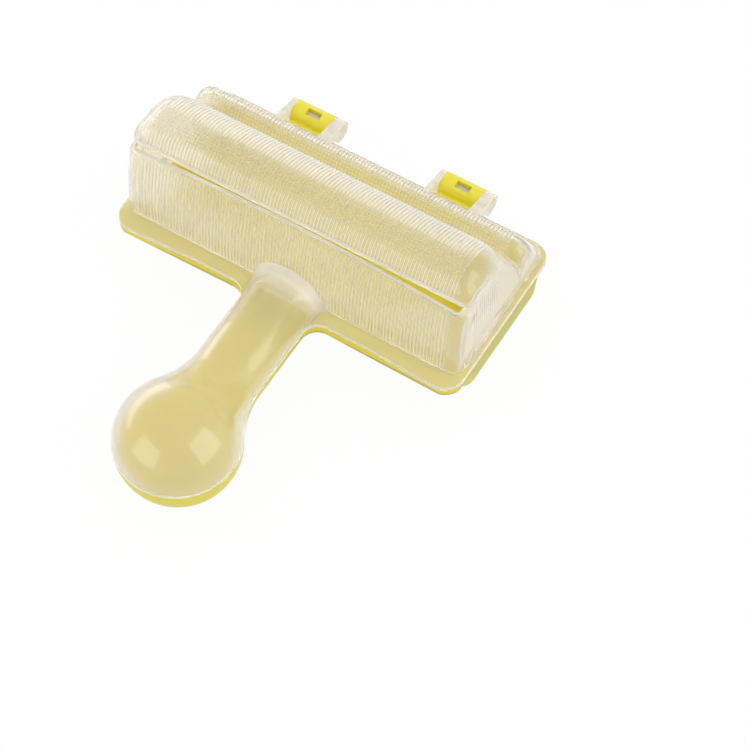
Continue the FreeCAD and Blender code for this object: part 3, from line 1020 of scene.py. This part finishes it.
    def build(self, material: bpy.types.Material) -> bpy.types.Object:
        """Builds the roof and its flange as one closed shell.

        Args:
            material: Its finish.

        Returns:
            The piece.
        """
        mesh = bmesh.new()
        outer_pitch = self.rib_pitch / self.columns_per_rib
        self.add_skin(mesh, 0.0, self.flange_top, outer_pitch, self.outer_step, self.outer_wall_steps)
        self.add_skin(
            mesh, self.wall, self.underside, self.inner_pitch, self.inner_step, self.inner_wall_steps
        )
        weld(mesh)
        slit_bottom = self.section.lip_height - self.slit_below_lip
        bmesh.ops.bridge_loops(mesh, edges=open_edges(mesh, lambda point: point.z > slit_bottom))
        Flange().add_around(mesh, self.flange_top, self.underside)
        return make_piece(mesh, "ribbed_roof", "roof", material)


@dataclass
class Flange:
    """The flat rim round the body, drawn in at the waist and led into the handle by two fillets."""

    half_length: float = 68.65
    half_width: float = 34.55
    back_y: float = 33.2
    corner: float = 7.5
    back_corner: float = 7.0
    corner_steps: int = 8
    waist: float = 1.3
    waist_length: float = 15.0
    sweep_length: float = 27.0
    sweep_share: float = 0.4
    root_x: float = 12.8
    root_fillet: float = 6.0
    root_straight: float = 4.0
    fillet_steps: int = 10
    notch_y: float = -30.6
    back_share: float = 0.4
    edge_round: float = 0.4
    edge_turn: tuple[tuple[float, float], ...] = ((1.0, 0.0), (0.3, 0.3), (0.0, 1.0))
    fill_turns: range = range(20, 180, 7)
    rim_haze: float = 0.6
    haze: float = 0.05

    def outline(self, inset: float, height: float) -> list[Vector]:
        """The rim's outline.

        Args:
            inset: How far it is drawn in.
            height: Its height.

        Returns:
            Its points, once round.
        """
        end_x, root_x = self.half_length - inset, self.root_x - inset
        waist_y = -self.half_width + self.waist + inset
        fillet_x, fillet_y = self.root_x + self.root_fillet, -self.half_width + self.waist - self.root_fillet
        half = [Vector((0.0, self.notch_y)), Vector((self.root_x / 2, self.notch_y))]
        half += [Vector((root_x, self.notch_y)), Vector((root_x, fillet_y + self.root_straight))]
        half += arc((fillet_x, fillet_y), self.root_fillet + inset, 180.0, 90.0, self.fillet_steps)
        half.append(Vector((fillet_x + self.waist_length, waist_y)))
        half.append(Vector((fillet_x + self.sweep_length, waist_y - self.waist * self.sweep_share)))
        corner, side_y = self.corner - inset, -self.half_width + inset
        half += arc((end_x - corner, side_y + corner), corner, 270.0, 360.0, self.corner_steps)
        corner, side_y = self.back_corner - inset, self.back_y - inset
        half += arc((end_x - corner, side_y - corner), corner, 0.0, 90.0, self.corner_steps)
        half.append(Vector((end_x * self.back_share, side_y)))
        points = half + [Vector((-point.x, point.y)) for point in reversed(half[1:])]
        return [Vector((point.x, point.y, height)) for point in points]

    def add_around(self, mesh: bmesh.types.BMesh, top: float, bottom: float) -> None:
        """Adds the rim round a roof that is open at both heights, and closes it.

        Args:
            mesh: The mesh that holds the roof.
            top: The height of the flange's upper face.
            bottom: The height of its underside.
        """
        soft = self.edge_round
        rim = [self.outline(soft * drawn_in, top - soft * down) for drawn_in, down in self.edge_turn]
        rim += [self.outline(0.0, bottom + soft / 2), self.outline(soft / 2, bottom)]
        add_band(mesh, rim, self.rim_haze)
        weld(mesh)
        layer = thickness_layer(mesh)
        for vertex in mesh.verts:
            if min(abs(vertex.co.z - top), abs(vertex.co.z - bottom)) < FLAT:
                vertex[layer] = self.haze
        for height in (top, bottom):
            self.fill(mesh, height)

    def fill(self, mesh: bmesh.types.BMesh, height: float) -> None:
        """Fills the flat ring between the open loops at one height.

        The fill can leave gaps where many points line up, so the mesh is turned and the fill made again until
        it has none.

        Args:
            mesh: The mesh that holds the loops.
            height: Their height.
        """
        for degrees in self.fill_turns:
            turn = Matrix.Rotation(math.radians(degrees), 3, "Z")
            bmesh.ops.rotate(mesh, verts=mesh.verts, cent=(0.0, 0.0, 0.0), matrix=turn)
            faces = cap(mesh, 2, height)
            bmesh.ops.rotate(mesh, verts=mesh.verts, cent=(0.0, 0.0, 0.0), matrix=turn.transposed())
            if not open_edges(mesh, lambda point: abs(point.z - height) < FLAT):
                return
            bmesh.ops.delete(mesh, geom=faces, context="FACES")
        LOG.warning("the flange is left open at %.1f mm", height)


# --- handle and hinges of the upper moulding ---


@dataclass(frozen=True)
class HandleProfile:
    """The turned outline of the handle: a tube that flares in a long neck into the ball."""

    radius: float = 12.8
    ball_radius: float = 21.9
    ball_y: float = -94.8
    neck: float = 34.0

    @property
    def neck_x(self) -> float:
        """How far from the axis the neck's arc has its centre."""
        return self.radius + self.neck

    @property
    def neck_y(self) -> float:
        """Where along the handle the neck's arc has its centre."""
        return self.ball_y + math.sqrt((self.ball_radius + self.neck) ** 2 - self.neck_x**2)

    @property
    def turn(self) -> float:
        """The angle at which the neck runs into the ball, in degrees."""
        return math.degrees(math.acos(self.neck_x / (self.ball_radius + self.neck)))

    def reach(self, y: float) -> float:
        """How far from the axis the outline stands.

        Args:
            y: A place along the tube, the neck or the ball's near half.

        Returns:
            The distance there.
        """
        if y >= self.neck_y:
            return self.radius
        if y >= self.ball_y + self.ball_radius * math.sin(math.radians(self.turn)):
            return self.neck_x - math.sqrt(self.neck**2 - (y - self.neck_y) ** 2)
        return math.sqrt(self.ball_radius**2 - (y - self.ball_y) ** 2)


@dataclass
class HandleCover:
    """The upper half of the tubular handle and its hollow ball end."""

    profile: HandleProfile = HandleProfile()
    root_radius: float = 14.6
    root_length: float = 9.0
    root_y: float = -27.0
    hollow_y: float = -28.4
    wall: float = 1.7
    gap: float = 0.1
    root_haze: float = 0.5
    root_haze_from: float = 3.4
    root_haze_to: float = 5.6
    flare_steps: int = 8
    tube_steps: int = 10
    neck_steps: int = 14
    ball_steps: int = 40
    turn_steps: int = 64

    def outline(self, inset: float, start_y: float) -> list[Vector]:
        """The outline from the root to the tip of the ball.

        Args:
            inset: How far it is drawn in.
            start_y: Where the hollow starts.

        Returns:
            Its points, as the distance from the axis and y.
        """
        tube = self.profile
        side = tube.radius - inset
        flare_y = self.root_y - self.root_length
        if inset:
            points = [Vector((side, start_y))]
        else:
            rise = self.root_radius - tube.radius
            flare = (rise**2 + self.root_length**2) / (rise * 2)
            angle = 180.0 - math.degrees(math.asin(self.root_length / flare))
            points = arc((tube.radius + flare, flare_y), flare, angle, 180.0, self.flare_steps)[:-1]
        points += line(Vector((side, flare_y)), Vector((side, tube.neck_y)), self.tube_steps)[:-1]
        neck = arc((tube.neck_x, tube.neck_y), tube.neck + inset, 180.0, 180.0 + tube.turn, self.neck_steps)
        return points + neck[:-1] + arc(
            (0.0, tube.ball_y), tube.ball_radius - inset, tube.turn, -90.0, self.ball_steps
        )

    def build(self, material: bpy.types.Material) -> bpy.types.Object:
        """Builds the half tube and half ball as one closed shell.

        Args:
            material: Its finish.

        Returns:
            The piece.
        """
        mesh = bmesh.new()
        outer = self.outline(0.0, self.root_y)
        inner = self.outline(self.wall, self.hollow_y)
        points = [Vector((0.0, self.root_y)), *outer, *reversed(inner), Vector((0.0, self.hollow_y))]
        face = mesh.faces.new([mesh.verts.new((point.x, point.y, 0.0)) for point in points])
        bmesh.ops.spin(
            mesh,
            geom=[face, *face.edges, *face.verts],
            cent=(0.0, 0.0, 0.0),
            axis=(0.0, -1.0, 0.0),
            angle=math.pi,
            steps=self.turn_steps,
            use_duplicate=False,
        )
        weld(mesh)
        for vertex in mesh.verts:
            vertex.co.z = max(vertex.co.z, self.gap)
        return make_piece(mesh, "handle_cover", "roof", material, thick=self.thickness)

    def thickness(self, point: Vector) -> float:
        """How thick the plastic is at a point: solid where the handle runs into the front wall."""
        start, end = self.root_y - self.root_haze_to, self.root_y - self.root_haze_from
        return self.root_haze * ramp(point.y, start, end)


@dataclass
class HingeArms:
    """The two pairs of arms at the back, each with a pin moulded between them."""

    spacing: float = 61.2
    axis_y: float = 39.7
    left_arm: tuple[float, float] = (-9.5, -11.6)
    right_arm: tuple[float, float] = (6.1, 9.8)
    barrel: float = 4.05
    barrel_start: float = -145.0
    barrel_steps: int = 28
    slope: float = 17.5
    slope_points: tuple[float, float] = (0.66, 0.33)
    pin: float = 2.0
    pin_short: float = 0.02
    bore: float = 2.9
    bore_depth: float = 3.4
    circle_sides: int = 32
    root_top: tuple[float, float] = (29.3, 6.6)
    root_foot: tuple[float, float] = (32.3, 2.02)
    rim_y: float = 33.25
    gap: float = 0.1
    notch_y: float = 35.0
    arm_haze: float = 0.6
    pin_haze: float = 1.0

    def outline(self) -> list[Vector]:
        """An arm's outline, from its root along the rim, round the barrel and back down the slope.

        Returns:
            Its points, as y and height.
        """
        barrel_end = 90.0 - self.slope
        root = Vector(self.root_top)
        rim_top = self.root_foot[1]
        corners = (self.root_foot, (self.rim_y, rim_top), (self.rim_y, self.gap), (self.notch_y, self.gap))
        barrel = arc((self.axis_y, 0.0), self.barrel, self.barrel_start, barrel_end, self.barrel_steps)
        slope = [root.lerp(barrel[-1], share) for share in self.slope_points]
        return [root, *(Vector(corner) for corner in corners), *barrel, *slope]

    def add_arm(self, mesh: bmesh.types.BMesh, inner: float, outer: float, is_bored: bool) -> None:
        """Adds one arm.

        Args:
            mesh: The mesh that the arm is added to.
            inner: The x of its face beside the clip.
            outer: The x of its other face.
            is_bored: Whether that face has a blind bore.
        """
        part = bmesh.new()
        outline = self.outline()
        ends = [inner, outer]
        add_band(part, [[Vector((x, point.x, point.y)) for point in outline] for x in ends])
        if is_bored:
            floor = outer + math.copysign(self.bore_depth, inner - outer)
            circle = arc((self.axis_y, 0.0), self.bore, 0.0, 360.0, self.circle_sides)[:-1]
            add_band(part, [[Vector((x, point.x, point.y)) for point in circle] for x in (outer, floor)])
            ends.append(floor)
        weld(part)
        for x in ends:
            cap(part, 0, x)
        bmesh.ops.recalc_face_normals(part, faces=part.faces)
        data = mesh_data(part, "arm")
        mesh.from_mesh(data)
        bpy.data.meshes.remove(data)

    def build(self, material: bpy.types.Material) -> bpy.types.Object:
        """Builds both hinges' arms and pins.

        Args:
            material: Their finish.

        Returns:
            The piece.
        """
        mesh = bmesh.new()
        for middle in (-self.spacing / 2, self.spacing / 2):
            self.add_arm(mesh, middle + self.left_arm[0], middle + self.left_arm[1], False)
            self.add_arm(mesh, middle + self.right_arm[0], middle + self.right_arm[1], True)
            left, right = self.left_arm[0] + self.pin_short, self.right_arm[0] - self.pin_short
            place = Matrix.Translation((middle + (left + right) / 2, self.axis_y, 0.0))
            bmesh.ops.create_cone(
                mesh,
                cap_ends=True,
                segments=self.circle_sides,
                radius1=self.pin,
                radius2=self.pin,
                depth=right - left,
                matrix=place @ Matrix.Rotation(math.pi / 2, 4, "Y"),
            )
        return make_piece(mesh, "hinge_arms", "roof", material, thick=self.thickness)

    def thickness(self, point: Vector) -> float:
        """How thick the plastic is: the solid pins are the milkiest.

        Args:
            point: The point.

        Returns:
            The thickness there, from 0 to 1.
        """
        along = point.x - math.copysign(self.spacing / 2, point.x)
        left, right = self.left_arm[0] + self.pin_short / 2, self.right_arm[0] - self.pin_short / 2
        return self.pin_haze if left < along < right else self.arm_haze


# --- lower moulding ---


@dataclass
class LowerShell:
    """The yellow lower moulding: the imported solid's form, with a slimmer flange and clips set off centre.

    Its handle and ball follow the same outline as the upper half, and its tray's ends stand further out.
    """

    flange_levels: tuple[float, float] = (-0.1, -2.7)
    slim_foot: float = -2.3
    back_y: float = 34.6
    slim_back: float = 33.25
    corner: float = 7.6
    corner_x: float = 61.1
    front_corner_y: float = -27.0
    back_corner_y: float = 25.65
    tray_reach: tuple[float, float] = (66.6, 33.2)
    tray_stretch: float = 0.9
    stretch_zone: tuple[float, float] = (48.0, 56.0)
    hinge_spacing: float = 61.2
    clip_from: tuple[float, ...] = (-7.1, -3.15, 3.15, 7.1)
    clip_to: tuple[float, ...] = (-9.4, -4.2, 1.5, 6.0)
    packed: HandleProfile = HandleProfile(ball_radius=22.5, neck=8.0)
    slim: HandleProfile = HandleProfile()
    neck_cuts: tuple[float, ...] = (-64.5, -67.0, -69.5, -72.0, -74.0, -76.0, -78.0, -80.0, -82.5)
    slack: float = 0.05

    def moved(self, point: Vector) -> Vector:
        """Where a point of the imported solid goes.

        Args:
            point: The point, in millimetres above the parting plane.

        Returns:
            The same point, or its new place if it belongs to the flange's rim, an end of the tray, a clip,
            the neck or the ball.
        """
        if point.y < self.packed.ball_y:
            centre = Vector((0.0, self.packed.ball_y, 0.0))
            return centre + (point - centre) * (self.slim.ball_radius / self.packed.ball_radius)
        if point.y < self.slim.neck_y:
            scale = self.slim.reach(point.y) / self.packed.reach(point.y)
            return Vector((point.x * scale, point.y, point.z * scale))
        x, y, z = point
        along = x - math.copysign(self.hinge_spacing / 2, x)
        if y > self.back_y - self.slack and abs(along) < self.clip_from[-1] + self.slack:
            x += self.clip_shift(along)
        elif abs(x) < self.tray_reach[0] and abs(y) < self.tray_reach[1]:
            x += math.copysign(self.tray_stretch, x) * ramp(abs(x), *self.stretch_zone)
        top, foot = (abs(z - level) < self.slack / 2 for level in self.flange_levels)
        if (top or foot) and y < self.back_y + self.slack:
            x, y = self.on_rim(x, min(y, self.slim_back))
            z = self.slim_foot if foot else z
        return Vector((x, y, z))

    def on_rim(self, x: float, y: float) -> Sequence[float]:
        """Draws a place in a corner of the flange in to the corner's round.

        Args:
            x: The place along the flange.
            y: The place across it.

        Returns:
            Its x and y, unchanged if it lies within the round.
        """
        centre_y = self.back_corner_y if y > 0 else self.front_corner_y
        centre = Vector((math.copysign(self.corner_x, x), centre_y))
        out = Vector((x, y)) - centre
        if out.x * x > 0 and out.y * y > 0 and out.length > self.corner:
            return centre + out.normalized() * self.corner
        return x, y

    def clip_shift(self, along: float) -> float:
        """How far a place on a clip moves sideways.

        Args:
            along: Its x from the middle of the hinge.

        Returns:
            The move.
        """
        before, after = self.clip_from, self.clip_to
        for low in range(len(before) - 1):
            if along <= before[low + 1] + self.slack * 2:
                share = (along - before[low]) / (before[low + 1] - before[low])
                return after[low] + (after[low + 1] - after[low]) * share - along
        return 0.0

    def build(self, material: bpy.types.Material) -> bpy.types.Object:
        """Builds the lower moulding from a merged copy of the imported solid.

        Args:
            material: Its finish.

        Returns:
            The piece.
        """
        mesh = bmesh.new()
        mesh.from_mesh(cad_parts["lower_shell"].data)
        bmesh.ops.scale(mesh, verts=mesh.verts, vec=(1 / MM, 1 / MM, 1 / MM))
        bmesh.ops.translate(mesh, verts=mesh.verts, vec=(0.0, 0.0, -TRAY_DEPTH))
        weld(mesh)
        for cut in self.neck_cuts:
            bmesh.ops.bisect_plane(
                mesh,
                geom=[*mesh.verts, *mesh.edges, *mesh.faces],
                dist=1e-4,
                plane_co=(0.0, cut, 0.0),
                plane_no=(0.0, 1.0, 0.0),
            )
        for vertex in mesh.verts:
            vertex.co = self.moved(vertex.co)
        return make_piece(mesh, "lower_moulding", "tray", material)


# --- stage, lamps and camera ---


@dataclass(frozen=True)
class Panel:
    """A soft rectangular lamp: the way to it, its width and height in metres, its watts and its colour."""

    name: str
    direction: tuple[float, float, float]
    size: tuple[float, float]
    power: float
    colour: str = WHITE


@dataclass
class Studio:
    """A white room with soft panels, and a long lens looking down on the mould from its front right."""

    camera_place: tuple[float, float, float] = (0.2779, -0.4060, 0.7298)
    camera_right: tuple[float, float, float] = (0.8512, 0.5248, -0.0123)
    camera_up: tuple[float, float, float] = (-0.4415, 0.7283, 0.5242)
    camera_range: tuple[float, float] = (0.05, 50.0)
    lens: float = 120.0
    sensor: float = 36.0
    floor_size: float = 6.0
    floor_colour: str = "#C4C4C2"
    floor_white: float = 1.03
    floor_white_share: float = 0.93
    horizon: float = 0.47
    zenith: float = 1.15
    panel_distance: float = 1.3
    panels: tuple[Panel, ...] = (
        Panel("right_panel", (0.90, 0.01, 0.44), (1.1, 1.1), 4.6),
        Panel("front_panel", (-0.36, -0.90, 0.27), (1.0, 1.0), 3.4),
        Panel("left_panel", (-0.82, 0.56, 0.13), (3.6, 0.50), 7.2, "#FFF0DF"),
    )

    def add_camera(self) -> None:
        """Adds the camera and makes it the scene's own."""
        right = Vector(self.camera_right).normalized()
        back = right.cross(Vector(self.camera_up)).normalized()
        turned = Matrix((right, back.cross(right), back)).transposed().to_4x4()
        data = bpy.data.cameras.new("camera")
        data.type = "PERSP"
        data.lens = self.lens
        data.sensor_width = self.sensor
        data.clip_start, data.clip_end = self.camera_range
        camera = new_object("camera", data)
        camera.matrix_world = Matrix.Translation(self.camera_place) @ turned
        bpy.context.scene.camera = camera

    def add_floor(self) -> None:
        """Adds a pale floor that shows white and keeps a soft shadow."""
        mesh = bmesh.new()
        bmesh.ops.create_grid(mesh, x_segments=1, y_segments=1, size=self.floor_size / 2)
        floor = new_object("floor", mesh_data(mesh, "floor"))
        material, tree = new_material("white_paper_sweep")
        paper = add_node(tree, "ShaderNodeBsdfDiffuse", {"Color": linear(self.floor_colour)})
        shine = add_node(tree, "ShaderNodeEmission", {"Color": linear(WHITE), "Strength": self.floor_white})
        mixed = self.show_white(tree, paper.outputs[0], shine.outputs[0], self.floor_white_share)
        add_node(tree, "ShaderNodeOutputMaterial", Surface=mixed)
        floor.data.materials.append(material)

    def add_world(self) -> None:
        """Adds an even white surround, full white where the camera sees it."""
        world = bpy.data.worlds.new("white_room")
        bpy.context.scene.world = world
        world.use_nodes = True
        tree = world.node_tree
        tree.nodes.clear()
        way = add_node(tree, "ShaderNodeTexCoord").outputs["Generated"]
        up = add_node(tree, "ShaderNodeSeparateXYZ", Vector=way).outputs["Z"]
        levels = {"To Min": self.horizon, "To Max": self.zenith}
        level = add_node(tree, "ShaderNodeMapRange", levels, Value=up).outputs["Result"]
        soft = add_node(tree, "ShaderNodeBackground", {"Color": linear(WHITE)}, Strength=level)
        white = add_node(tree, "ShaderNodeBackground", {"Color": linear(WHITE), "Strength": 1.0})
        mixed = self.show_white(tree, soft.outputs[0], white.outputs[0], 1.0)
        add_node(tree, "ShaderNodeOutputWorld", Surface=mixed)

    @staticmethod
    def show_white(
        tree: bpy.types.NodeTree, lit: bpy.types.NodeSocket, white: bpy.types.NodeSocket, share: float
    ) -> bpy.types.NodeSocket:
        """Shows white to the camera, in reflections and through clear plastic, over what lights the mould.

        Args:
            tree: The node tree.
            lit: What all other rays meet.
            white: What those three kinds of ray meet.
            share: How much of the white they see.

        Returns:
            The mixed shader's output.
        """
        path = add_node(tree, "ShaderNodeLightPath").outputs
        seen = path["Is Camera Ray"]
        for kind in ("Is Glossy Ray", "Is Transmission Ray"):
            seen = add_node(tree, "ShaderNodeMath", {"operation": "MAXIMUM"}, seen, path[kind]).outputs[0]
        scaled = add_node(tree, "ShaderNodeMath", {"operation": "MULTIPLY"}, seen, share).outputs[0]
        return add_node(tree, "ShaderNodeMixShader", None, scaled, lit, white).outputs[0]

    def add_panel(self, panel: Panel) -> None:
        """Adds one of the panels, turned to face the mould.

        Args:
            panel: The panel.
        """
        data = bpy.data.lights.new(panel.name, "AREA")
        data.shape = "RECTANGLE"
        data.size, data.size_y = panel.size
        data.energy = panel.power
        data.color = linear(panel.colour)[:3]
        lamp = new_object(panel.name, data)
        away = Vector(panel.direction).normalized()
        lamp.rotation_euler = away.to_track_quat("Z", "Y").to_euler()
        lamp.location = away * self.panel_distance

    def build(self) -> None:
        """Builds the whole studio."""
        self.add_camera()
        self.add_floor()
        self.add_world()
        for panel in self.panels:
            self.add_panel(panel)
        bpy.context.scene.view_settings.view_transform = "Standard"


def main() -> None:
    """Builds the finishes, the pieces and the studio in order."""
    logging.basicConfig(level=logging.INFO, format="%(message)s")
    frosted = NaturalPolypropylene().build()
    yellow = YellowPolypropylene().build()
    for part in (RibbedRoof(), HandleCover(), HingeArms()):
        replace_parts(part.build(frosted), "upper_shell")
    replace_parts(LowerShell().build(yellow), "lower_shell")
    Studio().build()


if __name__ == "__main__":
    main()
